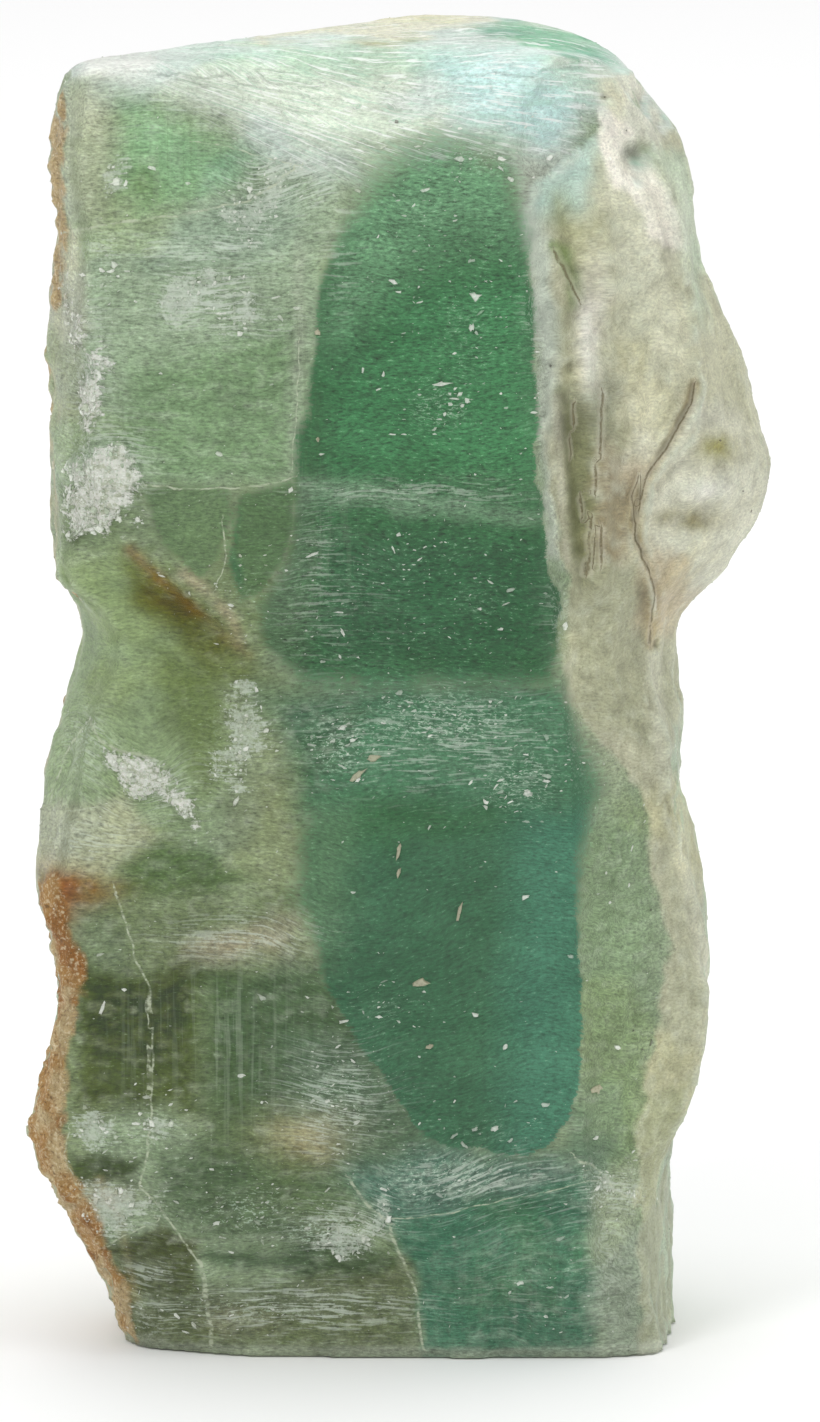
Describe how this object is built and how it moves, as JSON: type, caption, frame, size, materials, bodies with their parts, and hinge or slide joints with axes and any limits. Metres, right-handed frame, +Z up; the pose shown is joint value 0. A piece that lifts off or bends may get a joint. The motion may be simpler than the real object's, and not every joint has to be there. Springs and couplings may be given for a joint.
{
  "type": "raw green calcite block",
  "caption": "Upright rough block of translucent banded stone, with a broken bevelled crown, a side notch, a rounded side knob and a sawn flat base that it stands on.",
  "frame": {"origin": "on the sawn base, under the middle of the block's bounding box", "axes": "+Z up along the block's long direction, pictured broad face towards -Y, knob on the +X side"},
  "size_m": [0.0814, 0.0564, 0.1426],
  "materials": {
    "green_calcite": "waxy translucent, broken cleavage faces, with a chalky rind at the sides"
  },
  "bodies": {
    "root": {"calcite_block": "green_calcite"}
  },
  "joints": []
}
